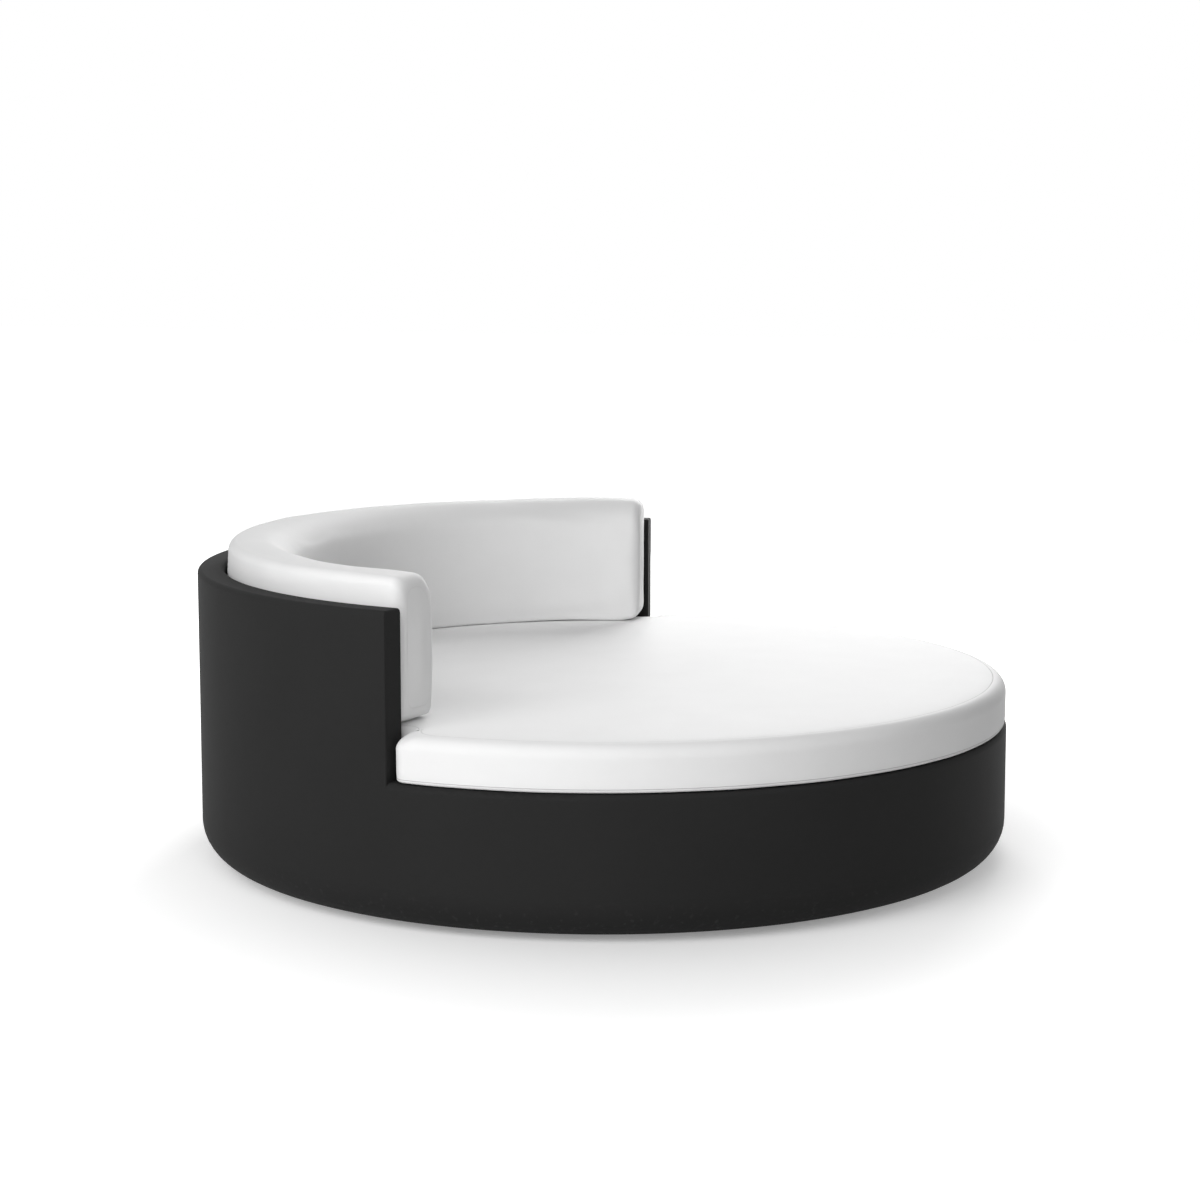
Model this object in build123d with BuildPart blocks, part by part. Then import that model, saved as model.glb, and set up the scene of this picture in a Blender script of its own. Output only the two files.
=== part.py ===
from build123d import *
import os
from math import asin, degrees, sqrt

# A round daybed: a hollow moulded drum with a wrap-around back wall, a round mattress and a
# C-shaped back cushion. Millimetres and degrees. The origin is on the floor under the drum's
# axis, +Z is up, and the open front faces -Y.

# The shell, one hollow moulding
bed_radius = 1050
underside_height = 8
deck_height = 352
rim_height = 752
wall_thickness = 70
wall_sweep = 159.4
wall_middle = 90
skin = 5
foot_round = 95
deck_edge_round = 14
rim_round = 12
wall_end_round = 4
wall_foot_round = 9
wall_root = 50

# Conical recesses that rise from the underside and carry the deck, and the drain holes in some
kiss_ring_inset = 290
kiss_ring_shares = (0, 0.53, 1)
kiss_counts = (1, 6, 6)
drained_ring = 1
kiss_base_radius = 68
kiss_top_radius = 30
kiss_lip_round = 10
drain_radius = 6

# Levelling glides, screwed into inserts that are moulded into the shell
glide_count = 6
glide_ring_inset = 230
glide_first = 30
pad_radius = 30
pad_height = 12
pad_chamfer = 2
socket_floor = 3
stud_radius = 6
stud_engaged = 31
stud_chamfer = 1.2
collar_flat = 8.5
collar_height = 6
nut_flat = 9.5
nut_height = 7
insert_radius = 9
insert_flange_radius = 12
insert_flange = 5
insert_length = 36
insert_cap = 3
boss_wall = 5
pocket_radius = 46
pocket_draft = 2
pocket_lip_round = 8

# Vent of the hollow, with its plug
vent_inset = 460
vent_direction = -90
vent_radius = 7
plug_head_radius = 12
plug_head = 2.5
plug_head_round = 1
plug_catch = 2
plug_catch_lip = 0.8

# The mattress
mattress_height = 116
mattress_side_gap = 0.5
mattress_wall_gap = 10
mattress_end_gap = 6
mattress_crown = 6
mattress_edge_round = 34
mattress_foot_round = 8
shoulder_round = 38
shoulder_hollow = 20
mattress_wadding_height = 36
base_mesh_margin = 30

# The back cushion
back_height = 350
back_thickness = 166
back_wall_gap = 6
back_end_gap = 1.5
back_front_crown = 7
back_top_crown = 4
back_front_top_round = 66
back_front_foot_round = 36
back_rear_top_round = 32
back_rear_foot_round = 22
back_end_round = 18
back_wadding_depth = 30

# Cloth of both covers, and their zips
cloth = 2
zip_sweep = 104
tape_height = 30
tape_thickness = 1.2
coil_height = 5
coil_rise = 2.2
slider_length = 15
slider_height = 10
slider_plate = 1.4
slider_corner = 2
slider_rib_rise = 0.8
slider_rib_height = 3
slider_rib_length = 8
slider_inset = 20
mattress_zip_height = 46
back_zip_height = 60

# Hook and loop strips between the wall and the back cushion
strip_count = 5
strip_pitch = 30
strip_width = 110
strip_height = 50
strip_drop = 110
hook_thickness = 2.5

# Clearances, and how far a cutting shape runs past what it cuts
rest_gap = 0.3
thread_gap = 0.08
tape_seat = 0.2
overrun = 20

# Angles
full_turn = 360
quarter_turn = 90

# Sizes that follow
wall_inner_radius = bed_radius - wall_thickness
wall_start = wall_middle - wall_sweep / 2
wall_end = wall_middle + wall_sweep / 2
kiss_ring_radius = bed_radius - kiss_ring_inset
drained_ring_radius = kiss_ring_radius * kiss_ring_shares[drained_ring]
glide_ring_radius = bed_radius - glide_ring_inset
vent_ring_radius = bed_radius - vent_inset
mattress_bottom = deck_height + rest_gap
mattress_edge_top = mattress_bottom + mattress_height
mattress_radius = bed_radius - mattress_side_gap
mattress_rear_radius = wall_inner_radius - mattress_wall_gap
crown_radius = (mattress_radius**2 + mattress_crown**2) / (2 * mattress_crown)
crown_centre = mattress_edge_top + mattress_crown - crown_radius
back_outer_radius = wall_inner_radius - back_wall_gap
back_inner_radius = back_outer_radius - back_thickness
back_bottom = crown_centre + sqrt(crown_radius**2 - back_inner_radius**2) + rest_gap
back_top = back_bottom + back_height
back_start = wall_start + degrees(back_end_gap / wall_inner_radius)
back_sweep = 2 * (wall_middle - back_start)
collar_top = pad_height + collar_height
nut_bottom = collar_top + rest_gap
pocket_roof = nut_bottom + nut_height
stud_top = pocket_roof + stud_engaged
insert_top = pocket_roof + insert_length
boss_radius = insert_flange_radius + boss_wall
zip_start = wall_middle - zip_sweep / 2
loop_thickness = back_wall_gap - hook_thickness - rest_gap
strip_low = rim_height - strip_drop - strip_height / 2
strip_start = wall_middle - strip_pitch * (strip_count - 1) / 2


def polar(radius, direction):
    """Point in plan at this distance from the bed's axis."""
    return Vector(radius, 0, 0).rotate(Axis.Z, direction)


def upright(direction):
    """Plane through the bed's axis: its local X runs outwards at this direction, local Y up."""
    outwards = polar(1, direction)
    return Plane(origin=(0, 0, 0), x_dir=outwards, z_dir=outwards.cross(Vector(0, 0, 1)))


def upright_at(place):
    """Plane through an upright axis at this point in plan, to draw a turned part on."""
    return Plane(origin=place, x_dir=(1, 0, 0), z_dir=(0, -1, 0))


def axis_at(place):
    return Axis(place, (0, 0, 1))


def turned(place, outline):
    """Solid turned about an upright axis at this point in plan, from half its section."""
    with BuildPart() as form:
        with BuildSketch(upright_at(place)):
            with BuildLine():
                Polyline(*outline, close=True)
            make_face()
        revolve(axis=axis_at(place))
    return form.part


def swept(outline, start, sweep):
    """Solid carried round the bed's axis from an upright section of (radius, height) points."""
    with BuildPart() as form:
        with BuildSketch(upright(start)):
            with BuildLine():
                Polyline(*outline, close=True)
            make_face()
        revolve(axis=Axis.Z, revolution_arc=sweep)
    return form.part


def rectangle(low_radius, high_radius, low, high):
    return (low_radius, low), (high_radius, low), (high_radius, high), (low_radius, high)


def write(piece, name):
    """Label a finished piece and write its STEP file."""
    piece.part.label = name
    export_step(piece.part, f"parts/{name}.step")


os.makedirs("parts", exist_ok=True)

# The shell: outside forms and the hollow between them


def drum(inset):
    """The drum's outside, or its hollow when it is inset by the skin."""
    low = underside_height + inset
    high = deck_height - inset
    outer = bed_radius - inset
    with BuildPart() as form:
        with BuildSketch(Plane.XZ) as profile:
            with BuildLine():
                Polyline((0, low), (outer, low), (outer, high), (0, high), close=True)
            make_face()
            outer_corners = profile.vertices().group_by(Axis.X)[-1].sort_by(Axis.Y)
            fillet(outer_corners[0], foot_round - inset)
            outer_corners = profile.vertices().group_by(Axis.X)[-1].sort_by(Axis.Y)
            fillet(outer_corners[-1], deck_edge_round - inset)
        revolve(axis=Axis.Z)
    return form.part


def back_wall():
    """The wrap-around wall, rooted in the drum, with rounded rim and ends."""
    with BuildPart() as form:
        with BuildSketch(upright(wall_start)) as profile:
            with BuildLine():
                Polyline(
                    (wall_inner_radius, deck_height - wall_root),
                    (bed_radius, deck_height - wall_root),
                    (bed_radius, rim_height),
                    (wall_inner_radius, rim_height),
                    close=True,
                )
            make_face()
            fillet(profile.vertices().group_by(Axis.Y)[-1], rim_round)
        revolve(axis=Axis.Z, revolution_arc=wall_sweep)
        ends = form.faces().filter_by(GeomType.PLANE).filter_by(Axis.Z, reverse=True)
        fillet(ends.edges(), wall_end_round)
    return form.part


def wall_cove():
    """The hollow rounding where the wall's inside meets the deck."""
    turn = degrees(wall_end_round / wall_inner_radius)
    corner = wall_inner_radius - wall_foot_round
    with BuildPart() as form:
        with BuildSketch(upright(wall_start + turn)):
            with BuildLine():
                middle = (corner, deck_height + wall_foot_round)
                curve = CenterArc(middle, wall_foot_round, -quarter_turn, quarter_turn)
                Polyline(
                    curve @ 1,
                    (wall_inner_radius + skin / 2, deck_height + wall_foot_round),
                    (wall_inner_radius + skin / 2, deck_height - skin / 2),
                    (corner, deck_height - skin / 2),
                    curve @ 0,
                )
            make_face()
        revolve(axis=Axis.Z, revolution_arc=wall_sweep - 2 * turn)
    return form.part


def wall_hollow():
    """The hollow inside the wall, open below into the drum's."""
    turn = degrees(skin / (bed_radius - wall_thickness / 2))
    with BuildPart() as form:
        with BuildSketch(upright(wall_start + turn)) as profile:
            with BuildLine():
                Polyline(
                    (wall_inner_radius + skin, deck_height - wall_root),
                    (bed_radius - skin, deck_height - wall_root),
                    (bed_radius - skin, rim_height - skin),
                    (wall_inner_radius + skin, rim_height - skin),
                    close=True,
                )
            make_face()
            fillet(profile.vertices().group_by(Axis.Y)[-1], rim_round - skin)
        revolve(axis=Axis.Z, revolution_arc=wall_sweep - 2 * turn)
    return form.part


def recess(place, base_radius, top_radius, lip_round, roof, grow, rise):
    """Tapered recess in the underside with a rounded lip. Grown by the skin, and raised past its
    roof, it is the plastic that stands round the recess inside the hollow."""
    low = underside_height
    with BuildPart() as form:
        with BuildSketch(upright_at(place)):
            with BuildLine():
                middle = (base_radius + lip_round, low + lip_round)
                lip = CenterArc(middle, lip_round - grow, 2 * quarter_turn, quarter_turn)
                Polyline(
                    lip @ 0,
                    (top_radius + grow, roof + rise),
                    (0, roof + rise),
                    (0, low - overrun),
                    (base_radius + lip_round, low - overrun),
                    lip @ 1,
                )
            make_face()
        revolve(axis=axis_at(place))
    return form.part


def insert_outline(flange_top):
    """Half section of a threaded insert's outside: a bush with a flange at each end."""
    return (
        (0, pocket_roof),
        (insert_flange_radius, pocket_roof),
        (insert_flange_radius, pocket_roof + insert_flange),
        (insert_radius, pocket_roof + insert_flange),
        (insert_radius, flange_top - insert_flange),
        (insert_flange_radius, flange_top - insert_flange),
        (insert_flange_radius, flange_top),
        (0, flange_top),
    )


kiss_places = [
    polar(kiss_ring_radius * share, number * full_turn / count)
    for share, count in zip(kiss_ring_shares, kiss_counts)
    for number in range(count)
]
drained_places = [place for place in kiss_places if abs(place.length - drained_ring_radius) < rest_gap]
glide_places = [
    polar(glide_ring_radius, glide_first + number * full_turn / glide_count)
    for number in range(glide_count)
]
vent_place = polar(vent_ring_radius, vent_direction)
kiss_roof = deck_height - 2 * skin
pocket_top_radius = pocket_radius - pocket_draft

drum_outside = drum(0)
drum_hollow = drum(skin)
wall_outside = back_wall()
cove = wall_cove()
wall_inside = wall_hollow()
kiss_sizes = (kiss_base_radius, kiss_top_radius, kiss_lip_round, kiss_roof)
kiss_recesses = [recess(place, *kiss_sizes, 0, 0) for place in kiss_places]
kiss_plastic = [recess(place, *kiss_sizes, skin, 2 * skin) for place in kiss_places]
pocket_sizes = (pocket_radius, pocket_top_radius, pocket_lip_round, pocket_roof)
pockets = [recess(place, *pocket_sizes, 0, 0) for place in glide_places]
pocket_plastic = [recess(place, *pocket_sizes, skin, skin) for place in glide_places]
insert_forms = [turned(place, insert_outline(insert_top)) for place in glide_places]

# The hollow, left where no recess or boss stands
with BuildPart() as hollow:
    add(drum_hollow)
    add(wall_inside)
    add(kiss_plastic + pocket_plastic, mode=Mode.SUBTRACT)
    with BuildSketch(Plane.XY.offset(pocket_roof)):
        with Locations(*glide_places):
            Circle(boss_radius)
    extrude(amount=insert_length + skin, mode=Mode.SUBTRACT)

with BuildPart() as shell:
    add(drum_outside)
    add(wall_outside)
    add(cove)
    add(hollow.part, mode=Mode.SUBTRACT)
    add(kiss_recesses + pockets + insert_forms, mode=Mode.SUBTRACT)
    with BuildSketch(Plane.XY.offset(kiss_roof - skin)):
        with Locations(*drained_places):
            Circle(drain_radius)
    extrude(amount=2 * skin + overrun, mode=Mode.SUBTRACT)
    with BuildSketch(Plane.XY.offset(underside_height - skin)):
        with Locations(vent_place):
            Circle(vent_radius)
    extrude(amount=2 * skin + skin / 2, mode=Mode.SUBTRACT)
write(shell, "shell")

# Vent plug, snapped into the underside
plug_catch_low = underside_height + skin
with BuildPart() as vent_plug:
    add(
        turned(
            vent_place,
            (
                (0, underside_height - plug_head),
                (plug_head_radius - plug_head_round, underside_height - plug_head),
                (plug_head_radius, underside_height - plug_head + plug_head_round),
                (plug_head_radius, underside_height),
                (vent_radius, underside_height),
                (vent_radius, plug_catch_low),
                (vent_radius + plug_catch_lip, plug_catch_low),
                (vent_radius - plug_catch_lip, plug_catch_low + plug_catch),
                (0, plug_catch_low + plug_catch),
            ),
        )
    )
write(vent_plug, "vent_plug")

# Glide inserts and lock nuts, six of each
bore_radius = stud_radius + thread_gap
with BuildPart() as glide_inserts:
    add(insert_forms)
    with BuildSketch(Plane.XY.offset(pocket_roof)):
        with Locations(*glide_places):
            Circle(bore_radius)
    extrude(amount=insert_length - insert_cap, mode=Mode.SUBTRACT)
write(glide_inserts, "glide_inserts")

with BuildPart() as glide_lock_nuts:
    with BuildSketch(Plane.XY.offset(nut_bottom)):
        with Locations(*glide_places):
            RegularPolygon(nut_flat, 6, major_radius=False)
            Circle(bore_radius, mode=Mode.SUBTRACT)
    extrude(amount=nut_height)
write(glide_lock_nuts, "glide_lock_nuts")

# The glides: a nylon pad moulded onto a threaded stud with a hexagonal collar
for number, place in enumerate(glide_places, start=1):
    with BuildPart() as glide_stud:
        add(
            turned(
                place,
                (
                    (0, socket_floor),
                    (stud_radius, socket_floor),
                    (stud_radius, stud_top - stud_chamfer),
                    (stud_radius - stud_chamfer, stud_top),
                    (0, stud_top),
                ),
            )
        )
        with BuildSketch(Plane.XY.offset(pad_height)):
            with Locations(place):
                RegularPolygon(collar_flat, 6, major_radius=False)
        extrude(amount=collar_height)
    write(glide_stud, f"glide_{number}_stud")
    with BuildPart() as glide_pad:
        add(
            turned(
                place,
                (
                    (0, 0),
                    (pad_radius - pad_chamfer, 0),
                    (pad_radius, pad_chamfer),
                    (pad_radius, pad_height - pad_chamfer),
                    (pad_radius - pad_chamfer, pad_height),
                    (stud_radius, pad_height),
                    (stud_radius, socket_floor),
                    (0, socket_floor),
                ),
            )
        )
    write(glide_pad, f"glide_{number}_pad")

# The mattress


def mattress_plan(inset):
    """Outline from above: a full round, drawn in at the rear to pass inside the wall."""
    front = mattress_radius - inset
    rear = mattress_rear_radius - inset
    front_turn = degrees(asin((mattress_end_gap + inset) / front))
    rear_turn = degrees(asin((mattress_end_gap + inset) / rear))
    front_sweep = full_turn - wall_sweep - 2 * front_turn
    with BuildSketch() as plan:
        with BuildLine():
            rear_arc = CenterArc((0, 0), rear, wall_start - rear_turn, wall_sweep + 2 * rear_turn)
            front_arc = CenterArc((0, 0), front, wall_end + front_turn, front_sweep)
            Line(rear_arc @ 1, front_arc @ 0)
            Line(front_arc @ 1, rear_arc @ 0)
        make_face()
        fillet(plan.vertices().sort_by_distance((0, 0, 0))[:2], shoulder_hollow + inset)
        fillet(plan.vertices().sort_by_distance((0, 0, 0))[-2:], shoulder_round - inset)
    return plan.sketch


def mattress_form(inset):
    """The mattress, or its filling when inset: crowned on top and rounded at every edge."""
    low = mattress_bottom + inset
    outline = mattress_plan(inset)
    with BuildPart() as form:
        with BuildSketch(Plane.XY.offset(low)):
            add(outline)
        extrude(amount=mattress_height + mattress_crown)
        with Locations((0, 0, crown_centre)):
            Sphere(crown_radius - inset, mode=Mode.INTERSECT)
        fillet(form.faces().sort_by(Axis.Z)[-1].edges(), mattress_edge_round - inset)
        fillet(form.faces().sort_by(Axis.Z)[0].edges(), mattress_foot_round - inset)
    return form.part


def zip_slot(face_radius, middle):
    """Opening in a cover's cloth that the zip's tape fills."""
    half = tape_height / 2
    outline = rectangle(face_radius - cloth, face_radius + cloth, middle - half, middle + half)
    return swept(outline, zip_start, zip_sweep)


def zip_tape(face_radius, middle):
    """Zip tape with the closed coil standing along its middle."""
    inner = face_radius - cloth + tape_seat
    outer = inner + tape_thickness
    crest = outer + coil_rise
    half = tape_height / 2
    coil = coil_height / 2
    crown = coil - coil_rise / 2
    outline = (
        (inner, middle - half),
        (outer, middle - half),
        (outer, middle - coil),
        (crest, middle - crown),
        (crest, middle + crown),
        (outer, middle + coil),
        (outer, middle + half),
        (inner, middle + half),
    )
    with BuildPart() as form:
        add(swept(outline, zip_start, zip_sweep))
    return form


def zip_slider(face_radius, middle):
    """Slider without a pull: a saddle over the coil, with a rib to draw it by."""
    foot = face_radius - cloth + tape_seat + tape_thickness + rest_gap
    inside = foot + coil_rise
    outside = inside + slider_plate
    half = slider_height / 2
    channel = coil_height / 2 + rest_gap
    rib = slider_rib_height / 2
    start = zip_start + degrees(slider_inset / face_radius)
    turn = degrees(slider_length / face_radius)
    rib_turn = degrees(slider_rib_length / face_radius)
    saddle_outline = (
        (foot, middle - half),
        (outside, middle - half),
        (outside, middle + half),
        (foot, middle + half),
        (foot, middle + channel),
        (inside, middle + channel),
        (inside, middle - channel),
        (foot, middle - channel),
    )
    rib_outline = rectangle(inside, outside + slider_rib_rise, middle - rib, middle + rib)
    saddle = swept(saddle_outline, start, turn)
    grip = swept(rib_outline, start + (turn - rib_turn) / 2, rib_turn)
    with BuildPart() as form:
        add(saddle)
        levels = form.edges().filter_by(GeomType.LINE).group_by(Axis.Z)
        fillet(levels[0] + levels[-1], slider_corner)
        add(grip)
    return form


mattress_inside = mattress_form(cloth)
mattress_outside = mattress_form(0)
base_outline = mattress_plan(base_mesh_margin)
mattress_zip_middle = mattress_bottom + mattress_zip_height
wadding_height = mattress_edge_top - mattress_wadding_height

with BuildPart() as mattress_foam:
    add(mattress_inside)
    split(bisect_by=Plane.XY.offset(wadding_height), keep=Keep.BOTTOM)
write(mattress_foam, "mattress_foam")

with BuildPart() as mattress_wadding:
    add(mattress_inside)
    split(bisect_by=Plane.XY.offset(wadding_height), keep=Keep.TOP)
write(mattress_wadding, "mattress_wadding")

with BuildPart() as mattress_base_mesh:
    with BuildSketch(Plane.XY.offset(mattress_bottom)):
        add(base_outline)
    extrude(amount=cloth)
write(mattress_base_mesh, "mattress_base_mesh")

with BuildPart() as mattress_cover:
    add(mattress_outside)
    add(mattress_inside, mode=Mode.SUBTRACT)
    add(mattress_base_mesh.part, mode=Mode.SUBTRACT)
    add(zip_slot(mattress_rear_radius, mattress_zip_middle), mode=Mode.SUBTRACT)
write(mattress_cover, "mattress_cover")

write(zip_tape(mattress_rear_radius, mattress_zip_middle), "mattress_zip")
write(zip_slider(mattress_rear_radius, mattress_zip_middle), "mattress_zip_slider")

# The back cushion


def back_form(inset):
    """The back cushion, or its filling when inset: crowned in front and on top, ends rounded."""
    inner = back_inner_radius + inset
    outer = back_outer_radius - inset
    low = back_bottom + inset
    high = back_top - back_top_crown - inset
    turn = degrees(inset / back_outer_radius)
    front_low = (inner + back_front_crown, low)
    front_high = (inner + back_front_crown, high)
    front_middle = (inner, (low + high) / 2)
    top_middle = ((inner + back_front_crown + outer) / 2, high + back_top_crown)
    with BuildPart() as form:
        with BuildSketch(upright(back_start + turn)) as profile:
            with BuildLine():
                ThreePointArc(front_low, front_middle, front_high)
                ThreePointArc(front_high, top_middle, (outer, high))
                Line((outer, high), (outer, low))
                Line((outer, low), front_low)
            make_face()
            corners = profile.vertices().sort_by(Axis.X)
            front_foot, front_top = corners[:2].sort_by(Axis.Y)
            rear_foot, rear_top = corners[2:].sort_by(Axis.Y)
            fillet(front_foot, back_front_foot_round - inset)
            fillet(front_top, back_front_top_round - inset)
            fillet(rear_foot, back_rear_foot_round - inset)
            fillet(rear_top, back_rear_top_round - inset)
        revolve(axis=Axis.Z, revolution_arc=back_sweep - 2 * turn)
        ends = form.faces().filter_by(GeomType.PLANE).filter_by(Axis.Z, reverse=True)
        fillet(ends.edges(), back_end_round - inset)
    return form.part


back_inside = back_form(cloth)
back_outside = back_form(0)
back_zip_middle = back_bottom + back_zip_height
back_wadding_radius = back_inner_radius + back_wadding_depth
front_layer = swept(rectangle(0, back_wadding_radius, back_bottom, back_top), 0, full_turn)

with BuildPart() as back_wadding:
    add(back_inside)
    add(front_layer, mode=Mode.INTERSECT)
write(back_wadding, "back_wadding")

with BuildPart() as back_foam:
    add(back_inside)
    add(front_layer, mode=Mode.SUBTRACT)
write(back_foam, "back_foam")

with BuildPart() as back_cover:
    add(back_outside)
    add(back_inside, mode=Mode.SUBTRACT)
    add(zip_slot(back_outer_radius, back_zip_middle), mode=Mode.SUBTRACT)
write(back_cover, "back_cover")

write(zip_tape(back_outer_radius, back_zip_middle), "back_zip")
write(zip_slider(back_outer_radius, back_zip_middle), "back_zip_slider")

# Hook strips on the wall, and the loop strips that face them on the cushion


def strips(low_radius, high_radius):
    """Patches spaced round the back, each following the wall's curve."""
    turn = degrees(strip_width / wall_inner_radius)
    outline = rectangle(low_radius, high_radius, strip_low, strip_low + strip_height)
    starts = [strip_start + number * strip_pitch - turn / 2 for number in range(strip_count)]
    return [swept(outline, start, turn) for start in starts]


hook_patches = strips(wall_inner_radius - hook_thickness, wall_inner_radius)
loop_patches = strips(back_outer_radius, back_outer_radius + loop_thickness)

with BuildPart() as wall_hook_strips:
    add(hook_patches)
write(wall_hook_strips, "wall_hook_strips")

with BuildPart() as back_loop_strips:
    add(loop_patches)
write(back_loop_strips, "back_loop_strips")
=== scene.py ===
# %% [markdown]
# # A round daybed in a white studio
#
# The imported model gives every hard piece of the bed: the moulded drum with its back wall, the
# levelling glides, the zips and the grip strips. This lesson gives them their finishes, and makes
# the two soft pieces, the round mattress and the C-shaped back cushion, as sewn covers with a
# filling that presses outwards. Everything is in metres, with the floor at z = 0 and the open
# front towards -Y.

# %% Load the fixed frame
import math

import bpy
import numpy as np
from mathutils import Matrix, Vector


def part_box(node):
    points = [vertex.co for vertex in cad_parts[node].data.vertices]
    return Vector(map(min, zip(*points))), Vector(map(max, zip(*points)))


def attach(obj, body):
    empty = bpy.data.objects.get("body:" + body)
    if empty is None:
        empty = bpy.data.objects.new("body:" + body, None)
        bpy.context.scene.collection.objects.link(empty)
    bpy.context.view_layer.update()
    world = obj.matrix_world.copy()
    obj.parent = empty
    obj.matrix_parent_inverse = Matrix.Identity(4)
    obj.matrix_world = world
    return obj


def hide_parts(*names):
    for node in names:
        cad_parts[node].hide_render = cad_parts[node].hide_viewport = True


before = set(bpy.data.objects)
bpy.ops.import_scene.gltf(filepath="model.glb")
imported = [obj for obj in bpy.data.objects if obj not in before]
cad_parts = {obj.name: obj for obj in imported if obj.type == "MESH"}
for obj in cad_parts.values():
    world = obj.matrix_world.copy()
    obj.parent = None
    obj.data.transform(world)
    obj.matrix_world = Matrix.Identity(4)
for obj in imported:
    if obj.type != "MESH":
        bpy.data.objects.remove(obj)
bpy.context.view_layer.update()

# %% [markdown]
# ## The camera
#
# The view was worked out from the bed's own circles: how flat the mattress's edge and the drum's
# foot look gives the height of the eye, and how much the far edges shrink against the near ones
# gives its distance. A lens of 81 mm on a 36 mm sensor stands 7 m away and looks down by 8
# degrees. It comes first, so that every later piece is judged from the same place.

# %% Place the camera
MM = 0.001
BED_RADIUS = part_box("shell")[1][0]
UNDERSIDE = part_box("shell")[0][2]
CAMERA_DISTANCE = 6.678 * BED_RADIUS
CAMERA_HEIGHT = UNDERSIDE + 1.5501 * BED_RADIUS
CAMERA_ASIDE = -0.0088 * BED_RADIUS
CAMERA_TURN = math.radians(71.83)
CAMERA_PITCH = 0.1399
LENS = 81.12
SENSOR = 36.0

looking = Vector((math.sin(CAMERA_TURN), math.cos(CAMERA_TURN), 0))
rightwards = Vector((math.cos(CAMERA_TURN), -math.sin(CAMERA_TURN), 0))
upwards = Vector((0, 0, 1))
camera = bpy.data.objects.new("camera", bpy.data.cameras.new("camera"))
camera.location = CAMERA_ASIDE * rightwards - CAMERA_DISTANCE * looking + CAMERA_HEIGHT * upwards
camera.rotation_euler = (math.pi / 2 - CAMERA_PITCH, 0, -CAMERA_TURN)
camera.data.lens = LENS
camera.data.sensor_width = SENSOR
bpy.context.scene.collection.objects.link(camera)
bpy.context.scene.camera = camera
print("camera at", [round(v, 3) for v in camera.location])

# %% [markdown]
# ## Colours and nodes
#
# A colour is written the way a paint chart gives it, as a hex value, and one function turns it
# to the linear numbers that light needs. Another adds a node with its settings and its links,
# so that a material reads as a short list of steps. Two habits of Blender's nodes are worth
# knowing: a Mix node for colours takes its factor in socket 0 and its colours in 6 and 7, and
# gives the result in output 2; and a Map Range whose "From" values run downwards gives 1 near
# the smaller one.

# %% Helpers for materials
MIX_FACTOR, MIX_FIRST, MIX_SECOND, MIX_RESULT = 0, 6, 7, 2


def linear(hex_code):
    """Each channel c of the hex colour: c / 12.92 near black, else ((c + 0.055) / 1.055) ** 2.4."""
    channels = np.array([int(hex_code[i : i + 2], 16) / 255 for i in (0, 2, 4)])
    curved = ((channels + 0.055) / 1.055) ** 2.4
    return (*np.where(channels <= 0.04045, channels / 12.92, curved).tolist(), 1.0)


def set_sockets(node, sockets):
    """Give each input, by its name or number, a plain value or the output of another node. A node
    given whole stands for its first output."""
    for key, value in sockets.items():
        if isinstance(value, bpy.types.Node):
            value = value.outputs[0]
        if isinstance(value, bpy.types.NodeSocket):
            node.id_data.links.new(value, node.inputs[key])
        else:
            node.inputs[key].default_value = value


def add_node(tree, kind, sockets=None, **settings):
    """Add a node with its settings, and with its inputs set or linked."""
    node = tree.nodes.new(kind)
    for key, value in settings.items():
        setattr(node, key, value)
    set_sockets(node, sockets or {})
    return node


def new_material(name):
    """A new material, its tree of nodes, and the Principled shader that the tree ends in."""
    material = bpy.data.materials.new(name)
    material.use_nodes = True
    return material, material.node_tree, material.node_tree.nodes["Principled BSDF"]


def paint(material, *node_names):
    """Give CAD nodes this material in every slot."""
    for name in node_names:
        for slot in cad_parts[name].material_slots:
            slot.material = material
    print(material.name, "on", ", ".join(node_names))


print("half grey as a linear number:", round(linear("808080")[0], 3))

# %% [markdown]
# ## The drum's plastic
#
# The drum is rotationally moulded polyethylene, coloured charcoal right through. The mould is
# blasted with grit, so its skin is matt with a fine orange peel, the wall waves very slightly
# where it cooled, and the pigment is a little cloudy, because powder melts onto a slowly turning
# mould. Near the floor shoes scuff it, which leaves small pale marks on any dark plastic. Each of
# these is a noise at its own size, and the marks fade out with height above the floor.

# %% Charcoal moulded polyethylene
GRIT = 2.2 * MM  # real grit marks are near 0.5 mm; drawn coarser, so that the render shows them
GRIT_DEPTH = 0.12 * MM
CLOUD = 300 * MM
MOULD_WAVE = 90 * MM
MOULD_WAVE_DEPTH = 0.5 * MM
SCUFF = 14 * MM
SCUFF_TOP = 110 * MM
SCUFF_STARTS, SCUFF_FULL = 0.58, 0.72  # heights of the noise
GRIT_SPREAD = 0.12  # how much the roughness differs between pits and peaks


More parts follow.
